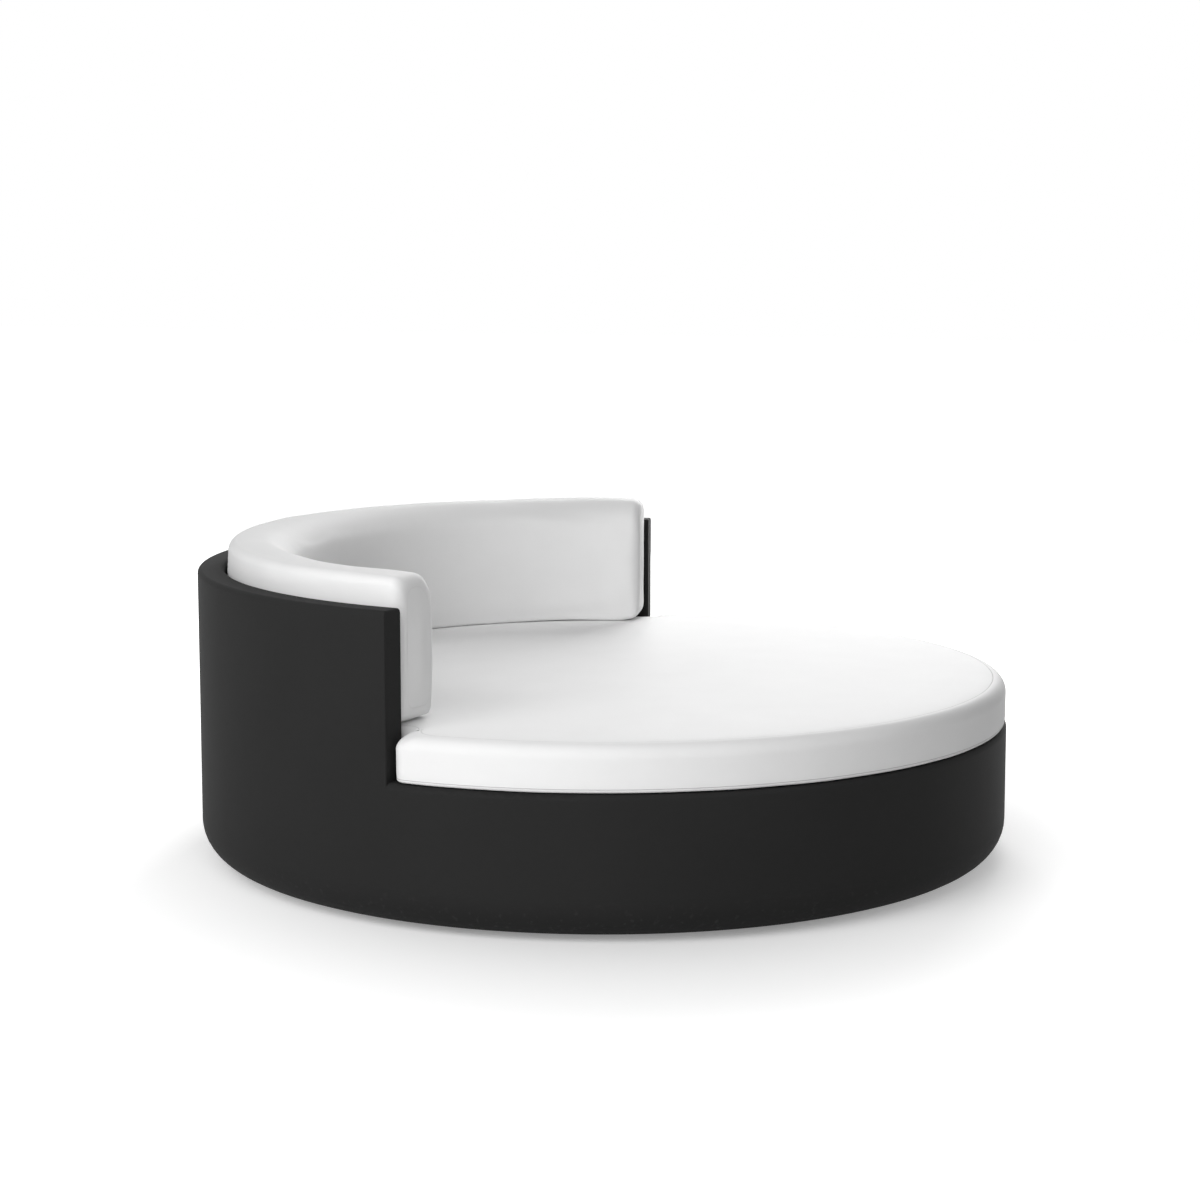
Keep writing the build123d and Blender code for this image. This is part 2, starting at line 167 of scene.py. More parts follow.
def moulded_polyethylene(name, dark, pale, scuffed, roughness):
    """Peel and slow waves in relief, cloudy pigment, and scuffs where a noise is high, low down."""
    material, tree, shader = new_material(name)
    place = add_node(tree, "ShaderNodeTexCoord").outputs["Object"]
    cloud = add_node(tree, "ShaderNodeTexNoise", {"Vector": place, "Scale": 1 / CLOUD, "Detail": 4.0})
    wave = add_node(tree, "ShaderNodeTexNoise", {"Vector": place, "Scale": 1 / MOULD_WAVE})
    grit = add_node(tree, "ShaderNodeTexNoise", {"Vector": place, "Scale": 1 / GRIT})
    spots = add_node(tree, "ShaderNodeTexNoise", {"Vector": place, "Scale": 1 / SCUFF, "Detail": 5.0})
    height = add_node(tree, "ShaderNodeSeparateXYZ", {"Vector": place}).outputs["Z"]
    low = {"Value": height, "From Min": SCUFF_TOP, "From Max": 0.0}
    low_down = add_node(tree, "ShaderNodeMapRange", low)
    rubbing = {"Value": spots, "From Min": SCUFF_STARTS, "From Max": SCUFF_FULL}
    marks = add_node(tree, "ShaderNodeMapRange", rubbing)
    scuffs = add_node(tree, "ShaderNodeMath", {0: low_down, 1: marks}, operation="MULTIPLY")

    pigment = {MIX_FACTOR: cloud, MIX_FIRST: linear(dark), MIX_SECOND: linear(pale)}
    clouded = add_node(tree, "ShaderNodeMix", pigment, data_type="RGBA").outputs[MIX_RESULT]
    rubbed = {MIX_FACTOR: scuffs, MIX_FIRST: clouded, MIX_SECOND: linear(scuffed)}
    colour = add_node(tree, "ShaderNodeMix", rubbed, data_type="RGBA").outputs[MIX_RESULT]
    slow = add_node(tree, "ShaderNodeBump", {"Height": wave, "Distance": MOULD_WAVE_DEPTH})
    peel = add_node(tree, "ShaderNodeBump", {"Height": grit, "Distance": GRIT_DEPTH, "Normal": slow})
    polish = {0: grit, 1: GRIT_SPREAD, 2: roughness - GRIT_SPREAD / 2}
    rough = add_node(tree, "ShaderNodeMath", polish, operation="MULTIPLY_ADD")
    set_sockets(shader, {"Base Color": colour, "Roughness": rough, "Normal": peel})
    set_sockets(shader, {"IOR": 1.5, "Specular IOR Level": 0.08})
    return material


drum = moulded_polyethylene("charcoal moulded polyethylene", "242424", "292929", "383838", roughness=0.74)
plug = moulded_polyethylene("black polyethylene plug", "161617", "1b1b1c", "29292a", roughness=0.6)
paint(drum, "shell")
paint(plug, "vent_plug")

# %% [markdown]
# ## The hidden metal
#
# Under the drum stand six glides: a nylon pad on a zinc plated stud, locked by a nut against a
# brass insert in the moulding. Turned metal carries fine rings. One texture cannot ring six
# places at once, so the rings are drawn along the height, where the tool's feed leaves them too.
# A zip's slider is a small casting, tumbled before it is plated, so its skin is only uneven.

# %% Turned and cast metal
TOOL_FEED = 0.8 * MM  # a real feed is near 0.15 mm; drawn coarser, so that a close view shows it
WAVES_PER_UNIT = 20 / math.tau  # a Wave texture of scale 1 has this many bands in a metre
MOTTLE = 6 * MM
TUMBLED = 1.5 * MM
METAL_RELIEF = 0.05 * MM


def bright_metal(name, dark, pale, roughness, turned):
    """Metal of a mottled colour, with rings along its height where it was turned, or else uneven."""
    material, tree, shader = new_material(name)
    place = add_node(tree, "ShaderNodeTexCoord").outputs["Object"]
    mottle = add_node(tree, "ShaderNodeTexNoise", {"Vector": place, "Scale": 1 / MOTTLE, "Detail": 3.0})
    if turned:
        ring_scale = {"Vector": place, "Scale": 1 / (TOOL_FEED * WAVES_PER_UNIT), "Distortion": 0.3}
        skin = add_node(tree, "ShaderNodeTexWave", ring_scale, bands_direction="Z").outputs["Fac"]
    else:
        skin = add_node(tree, "ShaderNodeTexNoise", {"Vector": place, "Scale": 1 / TUMBLED}).outputs["Fac"]
    plating = {MIX_FACTOR: mottle, MIX_FIRST: linear(dark), MIX_SECOND: linear(pale)}
    colour = add_node(tree, "ShaderNodeMix", plating, data_type="RGBA").outputs[MIX_RESULT]
    marks = add_node(tree, "ShaderNodeBump", {"Height": skin, "Distance": METAL_RELIEF})
    set_sockets(shader, {"Base Color": colour, "Normal": marks, "Metallic": 1.0, "Roughness": roughness})
    return material


glides = range(1, 7)
zinc = bright_metal("zinc plated steel", "a3a6a8", "c4c7c9", roughness=0.34, turned=True)
nickel = bright_metal("nickel plated zinc casting", "9a9a98", "b9b9b6", roughness=0.28, turned=False)
paint(zinc, "glide_lock_nuts", *(f"glide_{number}_stud" for number in glides))
paint(bright_metal("turned brass", "a98a4e", "c2a468", roughness=0.32, turned=True), "glide_inserts")
paint(nickel, "mattress_zip_slider", "back_zip_slider")

# %% [markdown]
# ## The glides' nylon
#
# The pads are injection moulded from glass-filled nylon. The glass comes to the skin in a faint
# flow mottle, which makes it satin and not glossy.

# %% Black glass-filled nylon
FLOW_SPREAD = 0.16  # the same for the flow marks


def moulded_nylon(name, dark, pale, roughness):
    """One noise gives the mottle of the colour, the roughness and a shallow relief."""
    material, tree, shader = new_material(name)
    place = add_node(tree, "ShaderNodeTexCoord").outputs["Object"]
    flow = add_node(tree, "ShaderNodeTexNoise", {"Vector": place, "Scale": 1 / MOTTLE, "Detail": 4.0})
    mottled = {MIX_FACTOR: flow, MIX_FIRST: linear(dark), MIX_SECOND: linear(pale)}
    colour = add_node(tree, "ShaderNodeMix", mottled, data_type="RGBA").outputs[MIX_RESULT]
    skin = add_node(tree, "ShaderNodeBump", {"Height": flow, "Distance": 2 * METAL_RELIEF})
    satin = {0: flow, 1: FLOW_SPREAD, 2: roughness - FLOW_SPREAD / 2}
    rough = add_node(tree, "ShaderNodeMath", satin, operation="MULTIPLY_ADD")
    set_sockets(shader, {"Base Color": colour, "Normal": skin, "Roughness": rough, "IOR": 1.53})
    return material


black_nylon = moulded_nylon("black glass-filled nylon", "19191a", "222223", roughness=0.5)
paint(black_nylon, *(f"glide_{number}_pad" for number in glides))

# %% [markdown]
# ## Hook strips and loop strips
#
# The back cushion is held to the wall by grip strips. The hook side is a field of stiff nylon
# hooks, and the loop side a brushed pile of fine loops. From a hand's width away both read as
# rows of small rounded tufts with gaps between them. A cell texture gives the tufts, and the
# shade that falls into the gaps is painted in, as a darker colour low between the cells.

# %% Hook tape and loop tape
HOOK_PITCH = 1.8 * MM
LOOP_PITCH = 2.0 * MM
PILE_DEPTH = 0.5 * MM


def pile_tape(name, dark, pale, pitch, roughness):
    """Tufts a pitch apart: pale and high mid-cell, low between cells, with painted shade there."""
    material, tree, shader = new_material(name)
    place = add_node(tree, "ShaderNodeTexCoord").outputs["Object"]
    cells = {"Vector": place, "Scale": 1 / pitch, "Randomness": 0.45}
    gap = add_node(tree, "ShaderNodeTexVoronoi", cells, feature="SMOOTH_F1").outputs["Distance"]
    # The darker colour between the cells is painted shade, where the gaps between tufts are in shadow.
    painted_gap_shade = {MIX_FACTOR: gap, MIX_FIRST: linear(pale), MIX_SECOND: linear(dark)}
    colour = add_node(tree, "ShaderNodeMix", painted_gap_shade, data_type="RGBA").outputs[MIX_RESULT]
    tufts = add_node(tree, "ShaderNodeBump", {"Height": gap, "Distance": PILE_DEPTH}, invert=True)
    set_sockets(shader, {"Base Color": colour, "Normal": tufts})
    set_sockets(shader, {"Roughness": roughness, "Sheen Weight": 0.25})
    return material


# The first colour of each tape is the painted shade in the gaps between its tufts.
hooks = pile_tape("black nylon hook tape", "151516", "2b2b2c", HOOK_PITCH, roughness=0.55)
loops = pile_tape("white nylon loop tape", "c9c9c6", "efefec", LOOP_PITCH, roughness=0.95)
paint(hooks, "wall_hook_strips")
paint(loops, "back_loop_strips")

# %% [markdown]
# ## The zips
#
# Each zip is a woven tape with a row of coil teeth, let into the rear of a cover and bent round
# the bed's axis. So the teeth are counted by the angle about that axis, which the arctangent of
# the object's own y and x gives, and the ribs of the tape by the height.

# %% White polyester zips
TOOTH_PITCH = 2.0 * MM  # a number 5 coil has a tooth each 1.3 mm; drawn coarser
TAPE_RIB = 1.6 * MM
ZIP_RELIEF = 0.25 * MM
mattress_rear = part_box("mattress_cover")[1][1]
back_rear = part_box("back_cover")[1][1]


def woven_zip(name, dark, pale, radius):
    """Height sin(turn radius 2 pi / tooth) + sin(z 2 pi / rib), and a colour from their product."""
    material, tree, shader = new_material(name)
    place = add_node(tree, "ShaderNodeTexCoord").outputs["Object"]
    axes = add_node(tree, "ShaderNodeSeparateXYZ", {"Vector": place})
    sides = {0: axes.outputs["Y"], 1: axes.outputs["X"]}
    turn = add_node(tree, "ShaderNodeMath", sides, operation="ARCTAN2")
    waves_of = []
    for value, rate in ((turn, math.tau * radius / TOOTH_PITCH), (axes.outputs["Z"], math.tau / TAPE_RIB)):
        phase = add_node(tree, "ShaderNodeMath", {0: value, 1: rate}, operation="MULTIPLY")
        waves_of.append(add_node(tree, "ShaderNodeMath", {0: phase}, operation="SINE"))
    teeth, ribs = waves_of
    weave = add_node(tree, "ShaderNodeMath", {0: teeth, 1: ribs}, operation="MULTIPLY")
    raised = add_node(tree, "ShaderNodeMath", {0: teeth, 1: ribs}, operation="ADD")
    woven = {MIX_FACTOR: weave, MIX_FIRST: linear(dark), MIX_SECOND: linear(pale)}
    colour = add_node(tree, "ShaderNodeMix", woven, data_type="RGBA").outputs[MIX_RESULT]
    relief = add_node(tree, "ShaderNodeBump", {"Height": raised, "Distance": ZIP_RELIEF})
    set_sockets(shader, {"Base Color": colour, "Normal": relief, "Roughness": 0.6})
    return material


paint(woven_zip("white polyester zip, mattress", "b9b9b6", "e6e6e3", mattress_rear), "mattress_zip")
paint(woven_zip("white polyester zip, back", "b9b9b6", "e6e6e3", back_rear), "back_zip")

# %% [markdown]
# ## The mattress's underside
#
# A foam mattress that lies on a closed plastic deck has to breathe, so a panel of knitted spacer
# mesh is sewn into its base: a pale net with round holes on a square grid. The depth of each
# hole is in shade, which is painted in as a dark grey.

# %% Grey spacer mesh
MESH_PITCH = 6.0 * MM
MESH_DEPTH = 0.6 * MM
HOLE_EDGE, NET_EDGE = 0.25, 0.4  # shares of the pitch


def open_mesh(name, dark, pale):
    """A net that is 0 in each hole, up to the hole's edge, and 1 from the net's edge on."""
    material, tree, shader = new_material(name)
    place = add_node(tree, "ShaderNodeTexCoord").outputs["Object"]
    cells = {"Vector": place, "Scale": 1 / MESH_PITCH, "Randomness": 0.0}
    holes = add_node(tree, "ShaderNodeTexVoronoi", cells)
    opening = {"Value": holes, "From Min": HOLE_EDGE, "From Max": NET_EDGE}
    net = add_node(tree, "ShaderNodeMapRange", opening)
    # In the holes the colour goes to the dark grey, which is painted shade in their depth.
    painted_hole_shade = {MIX_FACTOR: net, MIX_FIRST: linear(dark), MIX_SECOND: linear(pale)}
    colour = add_node(tree, "ShaderNodeMix", painted_hole_shade, data_type="RGBA").outputs[MIX_RESULT]
    relief = add_node(tree, "ShaderNodeBump", {"Height": net, "Distance": MESH_DEPTH})
    set_sockets(shader, {"Base Color": colour, "Normal": relief, "Roughness": 0.8, "Sheen Weight": 0.2})
    return material


# "3a3b3d" is the painted shade in the holes, "9a9b9d" the net's own grey.
paint(open_mesh("grey spacer mesh", "3a3b3d", "9a9b9d"), "mattress_base_mesh")

# %% [markdown]
# ## The covers' cloth
#
# Both covers are white outdoor upholstery cloth: woven polyester with a thin matt coating, so it
# has a fine pebbled grain, hardly any shine and a soft edge light from the fibres. A seam is a
# line where two panels are sewn inside out: the cloth dips towards it, and the shade in the line
# is painted in as a grey colour. Each cover carries how far a point is from its seams as an
# attribute, and the material draws the crease, its painted shade and the small puckers of the
# thread from it, crisp at any mesh size.

# %% White coated outdoor cloth
GRAIN = 2.6 * MM  # the real grain is near 0.7 mm; drawn coarser, so that the render shows it
GRAIN_DEPTH = 0.10 * MM
FADE = 130 * MM
CREASE_HALF_WIDTH = 1.4 * MM
CREASE_CORE = 0.2 * CREASE_HALF_WIDTH
CREASE_DEPTH = 0.8 * MM
PUCKER = 14 * MM
PUCKER_REACH = 16 * MM
PUCKER_DEPTH = 0.35 * MM
CLOTH_ROUGHNESS = 0.62
GRAIN_SPREAD = 0.1


def coated_cloth(name, dark, pale, painted_crease_shade):
    """Pebble grain everywhere. Within a crease's half width of a seam the colour goes to a painted
    shade and the surface sinks, and puckers fade out over their reach on both sides."""
    material, tree, shader = new_material(name)
    place = add_node(tree, "ShaderNodeTexCoord").outputs["Object"]
    away = add_node(tree, "ShaderNodeAttribute", attribute_name="seam").outputs["Fac"]
    line = {"Value": away, "From Min": CREASE_HALF_WIDTH, "From Max": CREASE_CORE}
    crease = add_node(tree, "ShaderNodeMapRange", line, interpolation_type="SMOOTHSTEP")
    beside = {"Value": away, "From Min": PUCKER_REACH, "From Max": 0.0}
    near = add_node(tree, "ShaderNodeMapRange", beside, interpolation_type="SMOOTHSTEP")

    cloud = add_node(tree, "ShaderNodeTexNoise", {"Vector": place, "Scale": 1 / FADE, "Detail": 3.0})
    faded = {MIX_FACTOR: cloud, MIX_FIRST: linear(dark), MIX_SECOND: linear(pale)}
    white = add_node(tree, "ShaderNodeMix", faded, data_type="RGBA").outputs[MIX_RESULT]
    # Within the crease the colour goes to a grey, which is painted shade in the seam's line.
    painted_seam_shade = {MIX_FACTOR: crease, MIX_FIRST: white, MIX_SECOND: linear(painted_crease_shade)}
    colour = add_node(tree, "ShaderNodeMix", painted_seam_shade, data_type="RGBA").outputs[MIX_RESULT]

    pebbles = {"Vector": place, "Scale": 1 / GRAIN, "Randomness": 0.9}
    grain = add_node(tree, "ShaderNodeTexVoronoi", pebbles, feature="SMOOTH_F1")
    thread = add_node(tree, "ShaderNodeTexNoise", {"Vector": place, "Scale": 1 / PUCKER, "Detail": 1.0})
    pulled = add_node(tree, "ShaderNodeMath", {0: thread, 1: near}, operation="MULTIPLY")
    puckered = add_node(tree, "ShaderNodeBump", {"Height": pulled, "Distance": PUCKER_DEPTH})
    sunk = {"Height": crease, "Distance": CREASE_DEPTH, "Normal": puckered}
    creased = add_node(tree, "ShaderNodeBump", sunk, invert=True)
    pebbled = {"Height": grain, "Distance": GRAIN_DEPTH, "Normal": creased}
    grained = add_node(tree, "ShaderNodeBump", pebbled)
    matt = {0: grain, 1: GRAIN_SPREAD, 2: CLOTH_ROUGHNESS}
    rough = add_node(tree, "ShaderNodeMath", matt, operation="MULTIPLY_ADD")
    set_sockets(shader, {"Base Color": colour, "Roughness": rough, "Normal": grained, "IOR": 1.46})
    set_sockets(shader, {"Specular IOR Level": 0.3, "Sheen Weight": 0.12, "Sheen Roughness": 0.5})
    return material


# "cacaca" is the painted shade in the seams' line.
cover_cloth = coated_cloth("white coated outdoor cloth", "eaeaea", "efefef", "cacaca")
print(cover_cloth.name, "has", len(cover_cloth.node_tree.nodes), "nodes")

# %% [markdown]
# ## From rings of points to a mesh
#
# A closed form is drawn as rings: its outline at one level after another, each with the same
# count of points. Neighbouring rings are joined by four-sided faces, and the first and the last
# ring get a lid.


# %% Helpers for meshes
def read_points(piece, what="co"):
    """The places, or with "normal" the directions, of a mesh's points, as rows of x, y, z."""
    found = np.empty(3 * len(piece.data.vertices), np.float32)
    piece.data.vertices.foreach_get(what, found)
    return found.reshape(-1, 3).astype(float)


def write_points(piece, points):
    """Put rows of x, y, z back into the mesh."""
    piece.data.vertices.foreach_set("co", points.astype(np.float32).ravel())
    piece.data.update()


def rings_to_mesh(name, rings):
    """Faces between neighbouring rings, and two lids. The faces look outwards when the sum of
    a . (b x c) over their corners a, b, c is positive, and are turned round when it is not."""
    count, around = rings.shape[:2]
    here = np.arange(around)
    after = np.roll(here, -1)
    first = around * np.arange(count - 1)[:, None]
    quads = np.stack([first + here, first + after, first + around + after, first + around + here], -1)
    quads = quads.reshape(-1, 4)
    points = rings.reshape(-1, 3)
    a, b, c = (points[quads[:, corner]] for corner in (0, 1, 2))
    lids = [here[::-1].tolist(), (around * (count - 1) + here).tolist()]
    mesh = bpy.data.meshes.new(name)
    mesh.from_pydata(points.tolist(), [], quads.tolist() + lids)
    if np.einsum("ij,ij->", a, np.cross(b, c)) < 0:
        mesh.flip_normals()
    mesh.shade_smooth()
    piece = bpy.data.objects.new(name, mesh)
    bpy.context.scene.collection.objects.link(piece)
    print(name, "drawn with", count, "rings of", around, "points")
    return piece


print("the drum's own mesh has", len(read_points(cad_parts["shell"])), "points")

# %% [markdown]
# ## How a cover is made plump
#
# A sewn cover is cut a little small, and its filling presses it tight. Here the closed form is
# drawn a few millimetres small all round. A copy of it, the cage, is remeshed into even squares,
# on which Blender's cloth behaves best, and is blown up with gravity off. The cloth folds into
# small pleats where it is pressed together, which this cover does not show, so only how far each
# point bulges is kept, shared out among its neighbours, and a soft cap keeps the cover in its
# place. The Surface Deform modifier then carries the bulge over to the drawn form, whose rings
# stay even along the edges and seams, where remeshing leaves them ragged.

# %% Settle modifiers, and share a bulge out
SHARING_ROUNDS = 30


def settle(piece):
    """Turn what the piece's modifiers make into its mesh."""
    shown = piece.evaluated_get(bpy.context.evaluated_depsgraph_get())
    mesh = bpy.data.meshes.new_from_object(shown)
    piece.modifiers.clear()
    piece.data = mesh
    mesh.shade_smooth()


def share_out(piece, bulge):
    """In each round every point takes the mean of its own bulge and its neighbours' mean."""
    edges = np.empty(2 * len(piece.data.edges), np.int32)
    piece.data.edges.foreach_get("vertices", edges)
    first, second = edges.reshape(-1, 2).T
    here, there = np.concatenate([first, second]), np.concatenate([second, first])
    neighbours = np.bincount(here, minlength=len(bulge))
    for _ in range(SHARING_ROUNDS):
        total = np.bincount(here, weights=bulge[there], minlength=len(bulge))
        bulge = (bulge + total / neighbours) / 2
    return bulge


print("a bulge is shared out", SHARING_ROUNDS, "times")

# %% Press a cage out and follow it
SIMULATED_FRAMES = 20


def pressed_out(cage, pressure, most):
    """Where the cage's points end when it is blown up as cloth. A point's bulge b is its movement
    along the outward direction, shared out. It then stands out by most tanh(b / most)."""
    start, outward = read_points(cage), read_points(cage, "normal")
    cloth = cage.modifiers.new("cloth", "CLOTH")
    cloth.settings.use_pressure = True
    cloth.settings.uniform_pressure_force = pressure
    cloth.settings.effector_weights.gravity = 0
    cloth.collision_settings.use_collision = False
    cloth.point_cache.frame_start = 1
    cloth.point_cache.frame_end = SIMULATED_FRAMES
    for number in range(1, SIMULATED_FRAMES + 1):
        bpy.context.scene.frame_set(number)
    settle(cage)
    bpy.context.scene.frame_set(1)
    bulge = share_out(cage, ((read_points(cage) - start) * outward).sum(1))
    tenths = np.quantile(bulge, np.arange(11) / 10) / MM
    print("cage bulges in mm, tenths of its points:", tenths.round(1))
    write_points(cage, start)
    return start + outward * most * np.tanh(bulge / most)[:, None]


def make_plump(piece, square, pressure, most):
    """Remesh a copy into squares of this size, press it out by up to most, and follow it."""
    cage = piece.copy()
    cage.data = piece.data.copy()
    bpy.context.scene.collection.objects.link(cage)
    remesh = cage.modifiers.new("even squares", "REMESH")
    remesh.mode = "VOXEL"
    remesh.voxel_size = square
    settle(cage)
    pressed = pressed_out(cage, pressure, most)
    follow = piece.modifiers.new("follow the cage", "SURFACE_DEFORM")
    follow.target = cage
    with bpy.context.temp_override(object=piece):
        bpy.ops.object.surfacedeform_bind(modifier=follow.name)
    print(piece.name, "follows its cage:", follow.is_bound)
    write_points(cage, pressed)
    settle(piece)
    bpy.data.objects.remove(cage)


print("a cage is blown up in", SIMULATED_FRAMES, "steps")

# %% [markdown]
# ## The mattress's outline
#
# Seen from above the mattress is a full round in front, and at the rear it is drawn in to pass
# inside the wall, with a rounded shoulder beside each end of the wall. Its outline is a chain of
# arcs, each known from the radii that it touches. Inset by a distance, every arc keeps its
# centre and its radius changes by that distance, so one function gives every ring of the cover.


# %% Points along an arc
def arc(centre_x, centre_y, radius, start, end, count):
    """Points at centre + radius (cos a, sin a), for count angles a from start to just before end.
    Where centre, radius and angles are arrays, each entry gives a row of points."""
    share = np.arange(count) / count
    x, y, r, first, last = (np.asarray(v)[..., None] for v in (centre_x, centre_y, radius, start, end))
    angle = first + (last - first) * share
    return np.stack(np.broadcast_arrays(x + r * np.cos(angle), y + r * np.sin(angle)), -1)


print("a quarter circle in three points:", arc(0, 0, 1, 0, math.pi / 2, 3).round(2).tolist())

# %% Draw the outline
WALL_SWEEP = 159.4  # degrees
SHOULDER_ROUND = 38 * MM
SHOULDER_HOLLOW = 20 * MM
END_GAP = 6 * MM
REAR_POINTS, HOLLOW_POINTS, BEND_POINTS, FRONT_POINTS = 90, 8, 12, 120  # on each half
wall_end = math.radians(90 + WALL_SWEEP / 2)
mattress_low, mattress_high = (corner[2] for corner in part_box("mattress_cover"))
mattress_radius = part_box("mattress_cover")[1][0]


def mattress_outline(inset, shoulder=SHOULDER_ROUND):
    """Loops inset by arrays of distances. Beside the wall's end a straight flank lies END_GAP in
    front of it. A fillet's centre stands its radius from the flank, and inside the front arc by
    that radius or outside the rear arc by it, which gives its distance along the wall's end."""
    inset = np.asarray(inset, float)
    front, rear = mattress_radius - inset, mattress_rear - inset
    bend, hollow, flank = shoulder - inset, SHOULDER_HOLLOW + inset, END_GAP + inset
    bend_out = np.sqrt((front - bend) ** 2 - (flank + bend) ** 2)
    hollow_out = np.sqrt((rear + hollow) ** 2 - (flank - hollow) ** 2)
    along, ahead = (math.cos(wall_end), math.sin(wall_end)), (-math.sin(wall_end), math.cos(wall_end))
    bend_x, bend_y = (bend_out * a + (flank + bend) * b for a, b in zip(along, ahead))
    hollow_x, hollow_y = (hollow_out * a + (flank - hollow) * b for a, b in zip(along, ahead))
    bend_turn = np.arctan2(bend_y, bend_x) % math.tau
    hollow_turn = np.arctan2(hollow_y, hollow_x) % math.tau
    half = np.concatenate(
        [
            arc(0, 0, rear, math.pi / 2, hollow_turn, REAR_POINTS),
            arc(hollow_x, hollow_y, hollow, hollow_turn + math.pi, wall_end + math.pi / 2, HOLLOW_POINTS),
            arc(bend_x, bend_y, bend, wall_end - math.pi / 2, bend_turn, BEND_POINTS),
            arc(0, 0, front, bend_turn, 3 * math.pi / 2, FRONT_POINTS),
        ],
        axis=-2,
    )
    front_point = np.stack([0 * front, -front], -1)[..., None, :]
    other_half = half[..., :0:-1, :] * [-1, 1]
    return np.concatenate([half, front_point, other_half], axis=-2)


outline = mattress_outline(0)
print("outline of", len(outline), "points, from", outline.min(0).round(3), "to", outline.max(0).round(3))

# %% [markdown]
# ## The mattress's cover
#
# A bought mattress of this kind has a round top panel, a side band and a base panel. The band is
# soft enough to roll over at its top, so its upper seam lies on top, just inside the roll, and
# its lower seam runs round the foot. At the two shoulders, where no sewing machine could follow
# the outline, the top panel has wider rounds than the foot. The cover's rings go from the base's
# middle outwards, round the foot, up the side, over the roll and back to the middle of a
# slightly crowned top.

# %% Make the mattress
SMALLER = 3 * MM
MATTRESS_SQUARE = 18 * MM
MATTRESS_EDGE_ROUND = 34 * MM
MATTRESS_FOOT_ROUND = 8 * MM
MATTRESS_CROWN = 6 * MM
MATTRESS_PRESSURE = 0.1
MATTRESS_PRESSED = 5 * MM
TOP_SHOULDER_ROUND = 95 * MM
LID_RINGS = 39
LID_MIDDLE = 0.01  # the innermost ring's share, so that it is not a single point
ROUND_RINGS = 13
SIDE_RINGS = 12
BASE_SEAM_RING = LID_RINGS + ROUND_RINGS - 1
TOP_SEAM_RING = BASE_SEAM_RING + SIDE_RINGS + ROUND_RINGS


def mattress_rings():
    """Every ring is the outline at an inset and a height, and in the lids drawn in by a share, the
    sine of even steps, so that they are close at the edge. The rounds follow a quarter circle, over
    the roll the shoulder widens, and the top rises by the crown times 1 - share^2."""
    quarter = np.linspace(0, math.pi / 2, ROUND_RINGS)
    lid = np.sin(np.linspace(LID_MIDDLE, math.pi / 2, LID_RINGS + 1))[:-1]
    low, edge_top = mattress_low + SMALLER, mattress_high - MATTRESS_CROWN - SMALLER
    foot_inset = SMALLER + MATTRESS_FOOT_ROUND * (1 - np.sin(quarter))
    foot_height = low + MATTRESS_FOOT_ROUND * (1 - np.cos(quarter))
    roll_inset = SMALLER + MATTRESS_EDGE_ROUND * (1 - np.cos(quarter))
    roll_height = edge_top - MATTRESS_EDGE_ROUND * (1 - np.sin(quarter))
    side_height = np.linspace(foot_height[-1], roll_height[0], SIDE_RINGS + 2)[1:-1]
    crowned = edge_top + MATTRESS_CROWN * (1 - lid[::-1] ** 2)
    still, whole, none = np.ones(LID_RINGS), np.ones(ROUND_RINGS), np.zeros(ROUND_RINGS)
    steps = [
        (foot_inset[0] * still, low * still, lid, 0 * still),
        (foot_inset, foot_height, whole, none),
        (np.full(SIDE_RINGS, SMALLER), side_height, np.ones(SIDE_RINGS), np.zeros(SIDE_RINGS)),
        (roll_inset, roll_height, whole, 1 - np.cos(quarter)),
        (roll_inset[-1] * still, crowned, lid[::-1], still),
    ]
    inset, height, share, over = (np.concatenate(column) for column in zip(*steps))
    shoulder = SHOULDER_ROUND + (TOP_SHOULDER_ROUND - SHOULDER_ROUND) * over
    flat = mattress_outline(inset, shoulder) * share[:, None, None]
    return np.concatenate([flat, np.broadcast_to(height[:, None, None], (*flat.shape[:2], 1))], -1)


mattress_drawn = mattress_rings()
mattress = rings_to_mesh("mattress_pad", mattress_drawn)
make_plump(mattress, MATTRESS_SQUARE, MATTRESS_PRESSURE, MATTRESS_PRESSED)

# %% [markdown]
# ## The back cushion's section
#
# The cushion is one long foam block bent to the wall. Cut across, it is tall and four-sided with
# rounded corners, the biggest of them a soft roll at its front top, and its front and its top are
# bowed outwards by the filling, which also lifts the top a few millimetres above the packed
# solid. The section is given as a distance from the bed's axis and a height.

# %% Draw the section
BACK_THICKNESS = 166 * MM
BACK_ROUNDS = (16 * MM, 22 * MM, 26 * MM, 66 * MM)  # front foot, rear foot, rear top, front top
END_PANEL_ROUNDS = (22 * MM, 22 * MM, 24 * MM, 50 * MM)  # the same corners, on the end panels
CORNER_STARTS = (1, 1.5, 0, 0.5)  # where their arcs start, in half turns
CORNER_POINTS = 16
STRAIGHT_POINTS = 36
BACK_END_ROUND = 32 * MM
BACK_FRONT_CROWN = 7 * MM
BACK_TOP_CROWN = 4 * MM
BACK_TOP_LIFT = 5 * MM
back_low, back_high = (corner[2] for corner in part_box("back_cover"))
back_front = back_rear - BACK_THICKNESS


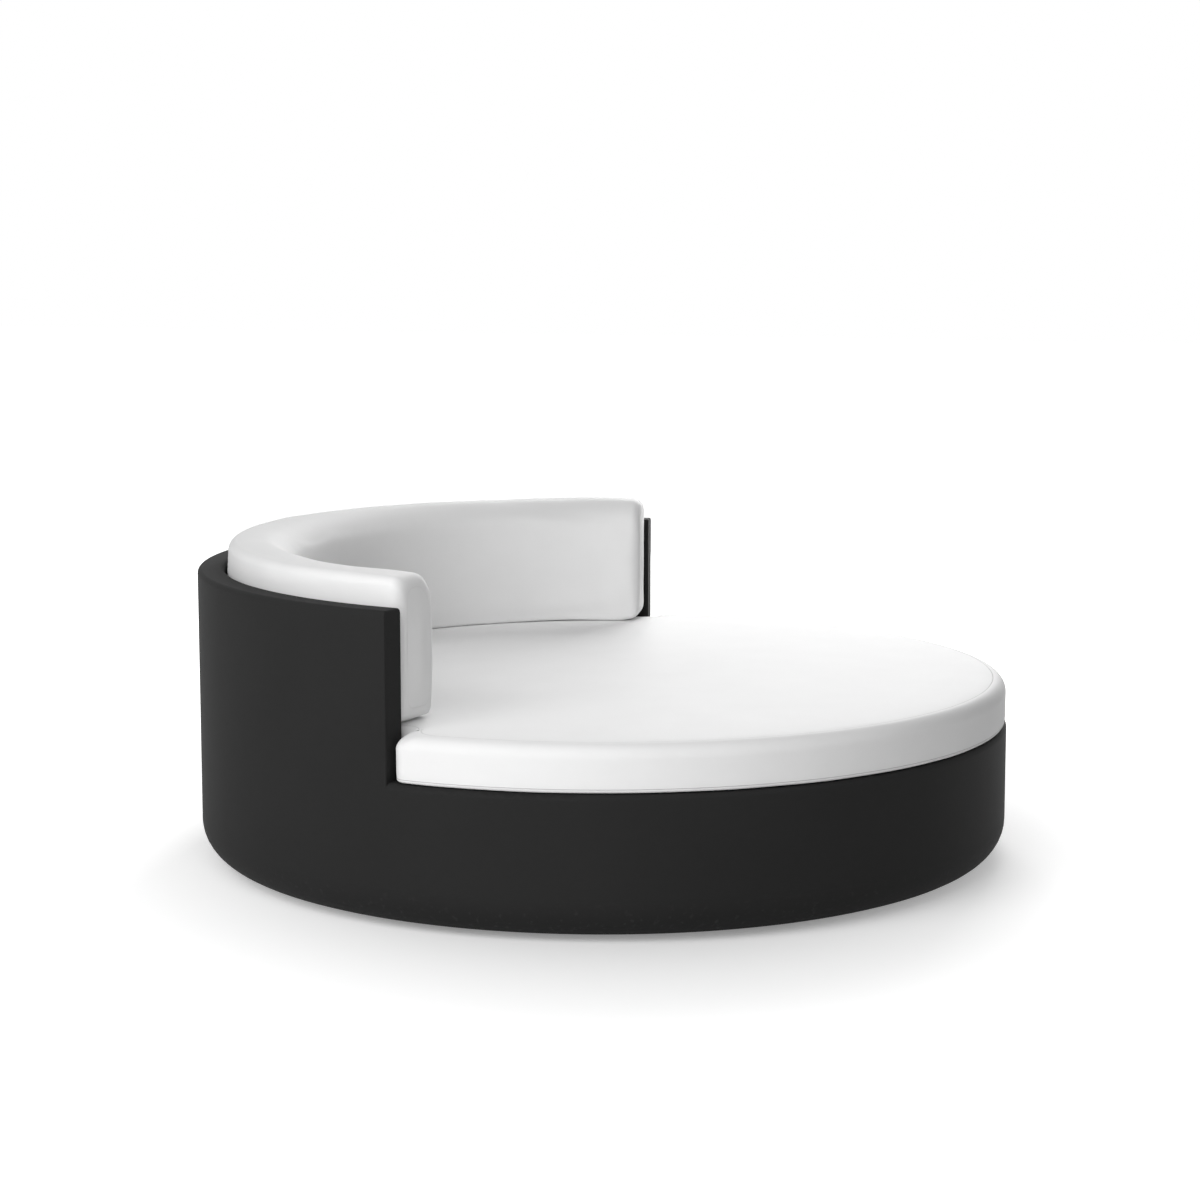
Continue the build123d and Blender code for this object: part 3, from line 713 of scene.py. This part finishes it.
def back_section(inset):
    """Sections inset by an array of distances: four arcs joined by straights, whose radii go over
    to those of the end panels as the inset grows. Then the front is bowed towards the axis by
    crown (1 - v^2) (1 - u) / 2, where u runs from -1 to 1 across the section and v up it, and the
    top likewise."""
    inset = np.asarray(inset, float)
    closed = np.clip((inset - SMALLER) / BACK_END_ROUND, 0, 1)
    low, high = back_low + inset, back_high + BACK_TOP_LIFT - BACK_TOP_CROWN - inset
    near, far = back_front + BACK_FRONT_CROWN + inset, back_rear - inset
    corners = ((near, low, 1, 1), (far, low, -1, 1), (far, high, -1, -1), (near, high, 1, -1))
    rounds = []
    sizes = zip(BACK_ROUNDS, END_PANEL_ROUNDS)
    for (x, z, right, up), (size, end_size), turn in zip(corners, sizes, CORNER_STARTS):
        radius = (size - SMALLER) * (1 - closed) + end_size * closed
        centre_x, centre_z, begin = x + right * radius, z + up * radius, turn * math.pi
        rounds.append(arc(centre_x, centre_z, radius, begin, begin + math.pi / 2, CORNER_POINTS))
    loop = []
    share = (np.arange(STRAIGHT_POINTS) / STRAIGHT_POINTS)[:, None]
    for here, after in zip(rounds, rounds[1:] + rounds[:1]):
        last, next_first = here[..., -1:, :], after[..., :1, :]
        loop += [here[..., :-1, :], last + (next_first - last) * share]
    loop = np.concatenate(loop, axis=-2)
    middle_x, middle_z = (near + far)[..., None] / 2, (low + high)[..., None] / 2
    u = np.clip((loop[..., 0] - middle_x) / (far[..., None] - middle_x), -1, 1)
    v = np.clip((loop[..., 1] - middle_z) / (high[..., None] - middle_z), -1, 1)
    loop[..., 0] -= BACK_FRONT_CROWN * (1 - v**2) * (1 - u) / 2
    loop[..., 1] += BACK_TOP_CROWN * (1 - u**2) * (1 + v) / 2
    return loop


section = back_section(0)
print("section of", len(section), "points, from", section.min(0).round(3), "to", section.max(0).round(3))

# %% [markdown]
# ## The back cushion
#
# The section is carried round the axis from one end of the wall to the other. At each end it is
# drawn in along a quarter circle, and then closed by a flat end panel, sewn in where the round
# ends.

# %% Make the back cushion
BACK_END_GAP = 1.5 * MM
BACK_SQUARE = 11.5 * MM
BACK_PRESSURE = 0.8
BACK_PRESSED = 6 * MM
BACK_RINGS = 240
END_PANEL_RINGS = 8
PANEL_INNERMOST, PANEL_OUTERMOST = 0.05, 0.95  # shares of the section
END_ROUND_RINGS = 7
END_SEAM_RING = END_PANEL_RINGS  # the ring where the panel ends and the quarter circle starts


def back_rings():
    """Each ring is a section at an angle about the axis, with an inset, and in the end panels drawn
    in by a share about its middle. Angle = distance along the middle of the cushion / its radius."""
    start = math.radians(90 - WALL_SWEEP / 2) + (BACK_END_GAP + SMALLER) / back_rear
    quarter = np.linspace(0, math.pi / 2, END_ROUND_RINGS)
    rounded = start + BACK_END_ROUND * (1 - np.cos(quarter)) * 2 / (back_front + back_rear)
    closing = SMALLER + BACK_END_ROUND * (1 - np.sin(quarter))
    body = np.linspace(rounded[-1], math.pi - rounded[-1], BACK_RINGS)[1:-1]
    panel = np.linspace(PANEL_INNERMOST, PANEL_OUTERMOST, END_PANEL_RINGS)
    end_turn = np.concatenate([np.full(END_PANEL_RINGS, start), rounded])
    end_inset = np.concatenate([np.full(END_PANEL_RINGS, closing[0]), closing])
    end_share = np.concatenate([panel, np.ones(END_ROUND_RINGS)])
    turn = np.concatenate([end_turn, body, math.pi - end_turn[::-1]])
    inset = np.concatenate([end_inset, np.full(len(body), SMALLER), end_inset[::-1]])
    share = np.concatenate([end_share, np.ones(len(body)), end_share[::-1]])
    sections = back_section(inset)
    middle = sections.mean(axis=1, keepdims=True)
    sections = middle + (sections - middle) * share[:, None, None]
    radius, height = sections[..., 0], sections[..., 1]
    return np.stack([radius * np.cos(turn)[:, None], radius * np.sin(turn)[:, None], height], -1)


back_drawn = back_rings()
back_cushion = rings_to_mesh("back_cushion_pad", back_drawn)
make_plump(back_cushion, BACK_SQUARE, BACK_PRESSURE, BACK_PRESSED)

# %% [markdown]
# ## Seams and an uneven filling
#
# Each seam runs along one of the drawn rings. Every point learns how far it was from the nearest
# seam when the rings were drawn, and the cloth dips there along a bell curve. No filling is quite
# even, so a mean of long crossed waves moves each face by up to about a millimetre.


# %% Waves of an uneven filling
def uneven(points, depth, lengths, phases):
    """The depth times the mean of sin x sin y cos 0.7 z, with x, y, z in turns of each length."""
    turned = math.tau * points / np.array(lengths)[:, None, None] + np.array(phases)[:, None, :]
    x, y, z = np.moveaxis(turned, -1, 0)
    return depth * (np.sin(x) * np.sin(y) * np.cos(0.7 * z)).mean(0)


wave_top = uneven(np.array([[0.25, 0.25, 0]]), 1, (1,), ((0, 0, 0),))
print("share of the depth at the top of a wave:", wave_top.round(2))

# %% Seams
SEAM_DIP_REACH = 8 * MM
SEAM_KEPT = 60 * MM


def from_seams(rings, seam_rings):
    """The length from a ring to the next is taken point by point and added up. A point's distance
    is the smallest difference between its own sum and that of a ring with a seam."""
    steps = np.linalg.norm(np.diff(rings, axis=0), axis=2)
    along = np.concatenate([np.zeros((1, rings.shape[1])), np.cumsum(steps, axis=0)])
    return np.abs(along - along[seam_rings][:, None]).min(axis=0).ravel()


def seam_dip(seam, deepest):
    """How deep the cloth dips at a distance from the seam: deepest exp(-(distance / reach)^2)."""
    return deepest * np.exp(-((seam / SEAM_DIP_REACH) ** 2))


def write_seam(piece, distance):
    """Keep how far each point is from the nearest seam, for the material to read."""
    layer = piece.data.attributes.new("seam", "FLOAT", "POINT")
    layer.data.foreach_set("value", np.minimum(distance, SEAM_KEPT).astype(np.float32))
    print(piece.name, "has", int((distance < SEAM_DIP_REACH).sum()), "points beside its seams")


print("share of a seam's dip at its reach:", round(float(seam_dip(SEAM_DIP_REACH, 1)), 2))

# %% [markdown]
# ## Room for the neighbours
#
# Each cover is then held to the space that it has, between the deck of the drum, the wall, the
# zips let into the rear sides, and the other cover. A point that is outside its limit in plan is
# drawn back towards the axis.

# %% Room beside the zips and the wall
CLOTH = 2 * MM
ZIP_RECESS = 1.4 * CLOTH
ZIP_SWEEP, ZIP_SWEEP_FADE = 104, 1  # degrees
ZIP_HALF = 17 * MM
ZIP_BAND = 24 * MM


def smooth_step(value, start, end):
    """0 before start and 1 past end, by 3 t^2 - 2 t^3 with t the share of the way."""
    share = np.clip((value - start) / (end - start), 0, 1)
    return share * share * (3 - 2 * share)


def zip_recess(points, zip_node):
    """How far the cloth stands back where the zip's tape is sewn in, fading out above and below the
    tape, between the half height and the band, and past its ends, over a degree."""
    middle = sum(corner[2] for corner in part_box(zip_node)) / 2
    turn = np.degrees(np.arctan2(points[:, 1], points[:, 0]))
    within = 1 - smooth_step(np.abs(turn - 90), ZIP_SWEEP / 2, ZIP_SWEEP / 2 + ZIP_SWEEP_FADE)
    return ZIP_RECESS * within * (1 - smooth_step(np.abs(points[:, 2] - middle), ZIP_HALF, ZIP_BAND))


def held_inside(points, limit):
    """Points in plan, times the smaller of 1 and limit / radius. A radius of 0 counts as tiny."""
    radius = np.hypot(points[:, 0], points[:, 1])
    return points[:, :2] * np.minimum(1, limit / np.maximum(radius, 1e-9))[:, None]


print("at the zips the cloth stands back", round(ZIP_RECESS / MM, 1), "mm")


# %% The wall's end and the mattress's top
def from_wall_end(points, radius):
    """How far a point lies behind the wall's end, along a circle of this radius, and negative in
    front of it: radius (half the wall's sweep - angle from the wall's middle)."""
    return radius * (math.radians(WALL_SWEEP / 2) - np.abs(np.arctan2(points[:, 0], points[:, 1])))


def mattress_top(radius):
    """Height of the crowned top: the middle's height less the crown times (radius / edge)^2."""
    return mattress_high - MATTRESS_CROWN * (radius / mattress_radius) ** 2


print("mattress top from", round(mattress_top(0), 4), "down to", round(mattress_top(mattress_radius), 4))

# %% [markdown]
# ## Finish the mattress
#
# Under the back cushion the top may not rise above its own crown, and away from the cushion it
# may do so more and more freely. Over the mesh panel the base stays clear of the mesh.

# %% How far in from the outline
POINTS_AT_A_TIME = 4000


def outline_distance(points, loop):
    """Distance in plan from each point to the nearest straight piece of a closed loop, worked out
    for a few thousand points at a time, so that the table of distances stays small."""
    step = np.roll(loop, -1, axis=0) - loop
    length = (step**2).sum(1)
    nearest = np.empty(len(points))
    for begin in range(0, len(points), POINTS_AT_A_TIME):
        block = slice(begin, begin + POINTS_AT_A_TIME)
        away = points[block, None, :2] - loop
        share = np.clip((away * step).sum(2) / length, 0, 1)
        nearest[block] = np.sqrt(((away - share[..., None] * step) ** 2).sum(2).min(1))
    return nearest


print("the axis is in from the outline by", outline_distance(np.zeros((1, 3)), outline).round(3), "m")

# %% Seams and limits of the mattress
MATTRESS_SEAM_DIP = 1.0 * MM
MATTRESS_UNEVEN = 1.1 * MM
MATTRESS_WAVES = (0.83, 0.47, 0.31)  # lengths in metres
SHOULDER_MARGIN = 9 * MM  # a point further outside the rear radius is on a shoulder
FRONT_SLACK = 4 * MM
MESH_EDGE = 26 * MM
MESH_EDGE_INNER = 34 * MM
MESH_CLEARANCE = 1.1 * CLOTH
FREE_RISE = 5 * MM
FREE_FROM_CUSHION = 90 * MM
FREE_PAST_END = 60 * MM


def finish_mattress():
    """Waves and dips move points along the outward direction. In plan, points behind the wall's end
    stay within the rear radius and the rest within the front one and its slack. The top may rise
    over its crown by the free rise times 1 - how far it is under the cushion, from 0 to 1."""
    points, facing = read_points(mattress), read_points(mattress, "normal")
    phases = ((0.4, 1.1, 0), (2.0, 0.3, 1), (1.2, 2.2, 2))
    points += facing * uneven(points, MATTRESS_UNEVEN, MATTRESS_WAVES, phases)[:, None]
    seam = from_seams(mattress_drawn, [BASE_SEAM_RING, TOP_SEAM_RING])
    points -= facing * seam_dip(seam, MATTRESS_SEAM_DIP)[:, None]

    radius = np.hypot(points[:, 0], points[:, 1])
    behind = points[:, 1] > radius * math.cos(math.radians(WALL_SWEEP / 2))
    inside_wall = behind & (radius < mattress_rear + SHOULDER_MARGIN)
    limit = np.where(inside_wall, mattress_rear, mattress_radius + FRONT_SLACK)
    limit -= np.where(behind, zip_recess(points, "mattress_zip"), 0)
    points[:, :2] = held_inside(points, limit)
    inset = outline_distance(points, outline)
    over_mesh = smooth_step(inset, MESH_EDGE, MESH_EDGE_INNER) * (facing[:, 2] < 0)
    points[:, 2] = np.maximum(points[:, 2], mattress_low + MESH_CLEARANCE * over_mesh)
    under = smooth_step(radius, back_front - FREE_FROM_CUSHION, back_front)
    under *= smooth_step(from_wall_end(points, radius), -FREE_PAST_END, 0)
    points[:, 2] = np.minimum(points[:, 2], mattress_top(radius) + FREE_RISE * (1 - under))
    write_points(mattress, points)
    write_seam(mattress, seam)


finish_mattress()

# %% [markdown]
# ## Finish the back cushion
#
# Its weight presses its foot flat on the crowned mattress that it stands on, so that only a thin
# dark line is left between them. At its ends the foot keeps its rounds.

# %% Seams and limits of the back cushion
BACK_SEAM_DIP = 0.5 * MM
BACK_SEAM_FAINTER = 0.8 * MM
BACK_UNEVEN = 1.2 * MM
BACK_WAVES = (0.71, 0.39, 0.23)  # lengths in metres
FOOT_CLEARANCE = 0.4 * MM
FOOT_PRESSED = 16 * MM
PRESSED_FROM_END = 80 * MM
PRESSED_AT_END = 0.3


def finish_back_cushion():
    """A point at a height h over the mattress, below the height H that the weight reaches, comes
    down to h (3 t^2 - 2 t^3), with t = h / H, and H falls off towards the cushion's ends. A length
    added to the distance from the end seams makes their crease fainter, as on a flattened seam."""
    points, facing = read_points(back_cushion), read_points(back_cushion, "normal")
    phases = ((1.4, 0.1, 1), (0.2, 2.3, 0), (2.2, 1.2, 1))
    points += facing * uneven(points, BACK_UNEVEN, BACK_WAVES, phases)[:, None]
    seam = from_seams(back_drawn, [END_SEAM_RING, len(back_drawn) - 1 - END_SEAM_RING])
    points -= facing * seam_dip(seam, BACK_SEAM_DIP)[:, None]

    points[:, :2] = held_inside(points, back_rear - zip_recess(points, "back_zip"))
    radius = np.hypot(points[:, 0], points[:, 1])
    weight = smooth_step(from_wall_end(points, radius), 0, PRESSED_FROM_END)
    reached = FOOT_PRESSED * np.maximum(weight, PRESSED_AT_END)
    floor_height = mattress_top(radius)
    above = np.maximum(points[:, 2] - floor_height, 0)
    pressed = above * smooth_step(above, 0, reached)
    points[:, 2] = floor_height + np.maximum(pressed, FOOT_CLEARANCE)
    write_points(back_cushion, points)
    write_seam(back_cushion, seam + BACK_SEAM_FAINTER)


finish_back_cushion()

# %% [markdown]
# ## What the covers stand for
#
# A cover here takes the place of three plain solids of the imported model: the cover itself, the
# wadding and the foam inside it. It moves with their body, and both are tight pads.

# %% Tell the frame about the covers
for piece, body, nodes in (
    (mattress, "mattress", ("mattress_cover", "mattress_wadding", "mattress_foam")),
    (back_cushion, "back_cushion", ("back_cover", "back_wadding", "back_foam")),
):
    piece.data.materials.clear()
    piece.data.materials.append(cover_cloth)
    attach(piece, body)
    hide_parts(*nodes)
    points = read_points(piece)
    print(piece.name, "from", points.min(0).round(4), "to", points.max(0).round(4))

# %% [markdown]
# ## The studio floor
#
# The photograph is a catalogue picture on pure white, with only a soft shadow round the foot,
# deepest in front. So the floor is a pale matt sheet of paper that takes the shadow. The camera
# alone sees a glow in it, weak in front of the bed, stronger at its sides and full further out,
# so that the open floor runs into the white behind it and no light is added to the object. This
# glow is painted light on the floor: being weak near the bed and stronger at its sides, it also
# shapes the shadow, so that it reads deepest in front.

# %% White studio paper
PAPER_FIBRE = 40 * MM
GLOW_BESIDE = 0.23
GLOW_STARTS = 1.0 * BED_RADIUS
GLOW_FULL = 2.9 * BED_RADIUS
GLOW_ACROSS = 1.5


def seen_directly(tree):
    """1 for what the camera sees, also by way of a mirror or glass, and 0 for what lights things."""
    path = add_node(tree, "ShaderNodeLightPath").outputs
    seen = path["Is Camera Ray"]
    for other in ("Is Glossy Ray", "Is Transmission Ray"):
        seen = add_node(tree, "ShaderNodeMath", {0: seen, 1: path[other]}, operation="MAXIMUM").outputs[0]
    return seen


paper, tree, shader = new_material("white studio paper")
place = add_node(tree, "ShaderNodeTexCoord").outputs["Object"]
fibres = add_node(tree, "ShaderNodeTexNoise", {"Vector": place, "Scale": 1 / PAPER_FIBRE})
mottled = {MIX_FACTOR: fibres, MIX_FIRST: linear("eaeaea"), MIX_SECOND: linear("ececec")}
white = add_node(tree, "ShaderNodeMix", mottled, data_type="RGBA").outputs[MIX_RESULT]
turned = {"Vector": place, "Rotation": (0, 0, -CAMERA_TURN), "Scale": (1 / GLOW_ACROSS, 1, 1)}
across = add_node(tree, "ShaderNodeMapping", turned, vector_type="TEXTURE")
away = add_node(tree, "ShaderNodeVectorMath", {0: across}, operation="LENGTH").outputs["Value"]
painted_glow_range = {"Value": away, "From Min": GLOW_STARTS, "From Max": GLOW_FULL, "To Min": GLOW_BESIDE}
# The glow is painted light, weak near the bed and strong at its sides, which shapes the shadow.
glow = add_node(tree, "ShaderNodeMapRange", painted_glow_range)
shown = add_node(tree, "ShaderNodeMath", {0: glow, 1: seen_directly(tree)}, operation="MULTIPLY")
set_sockets(shader, {"Base Color": white, "Roughness": 0.9, "Specular IOR Level": 0.0})
set_sockets(shader, {"Emission Color": linear("ffffff"), "Emission Strength": shown})
print(paper.name, "has", len(tree.nodes), "nodes")

# %% Lay the floor
FLOOR_REACH = 30
corners = [(x * FLOOR_REACH, y * FLOOR_REACH, 0) for x, y in ((-1, -1), (1, -1), (1, 1), (-1, 1))]
floor_mesh = bpy.data.meshes.new("floor")
floor_mesh.from_pydata(corners, [], [(0, 1, 2, 3)])
floor_mesh.materials.append(paper)
floor = bpy.data.objects.new("floor", floor_mesh)
bpy.context.scene.collection.objects.link(floor)
print("floor of", 2 * FLOOR_REACH, "m")

# %% [markdown]
# ## World and lamps
#
# The world is a faint white light all round, and shows as pure white where it is seen. A very
# wide softbox beside the camera lights the bed's side, a smaller one on the camera's left
# brightens the front, and two behind the bed, one above the other, light its top, which keeps
# the shade inside the cushion. Each is placed by how far round it stands from the camera,
# anticlockwise seen from above, by how high, and by its width and its power.

# %% White room
WORLD_LIGHT = 0.13
world = bpy.data.worlds.new("white room")
bpy.context.scene.world = world
world.use_nodes = True
tree = world.node_tree
seen = seen_directly(tree)
strength = add_node(tree, "ShaderNodeMath", {0: seen, 1: WORLD_LIGHT}, operation="MAXIMUM")
set_sockets(tree.nodes["Background"], {"Color": linear("ffffff"), "Strength": strength})
print("the world lights the bed with a strength of", WORLD_LIGHT)

# %% Softboxes
SOFTBOX_DISTANCE = 6.0
AIM_HEIGHT = 0.4
SOFTBOXES = (
    ("beside the camera", -20, 28, 7.0, 280),
    ("front left", -45, 32, 3.0, 62),
    ("rear, low", 165, 12, 3.0, 132),
    ("rear, high", 165, 32, 3.0, 156),
)
target = Vector((0, 0, AIM_HEIGHT))
for name, round_by, rise, width, power in SOFTBOXES:
    lamp = bpy.data.lights.new(name, "AREA")
    lamp.shape = "SQUARE"
    lamp.size = width
    lamp.energy = power
    turn, tilt = math.radians(round_by), math.radians(rise)
    level = math.sin(turn) * rightwards - math.cos(turn) * looking
    towards = math.cos(tilt) * level + math.sin(tilt) * upwards
    softbox = bpy.data.objects.new(name, lamp)
    softbox.location = target + SOFTBOX_DISTANCE * towards
    softbox.rotation_euler = towards.to_track_quat("Z", "Y").to_euler()
    bpy.context.scene.collection.objects.link(softbox)
    print("softbox", name, [round(v, 2) for v in softbox.location], power, "W")
bpy.context.scene.view_settings.view_transform = "Standard"
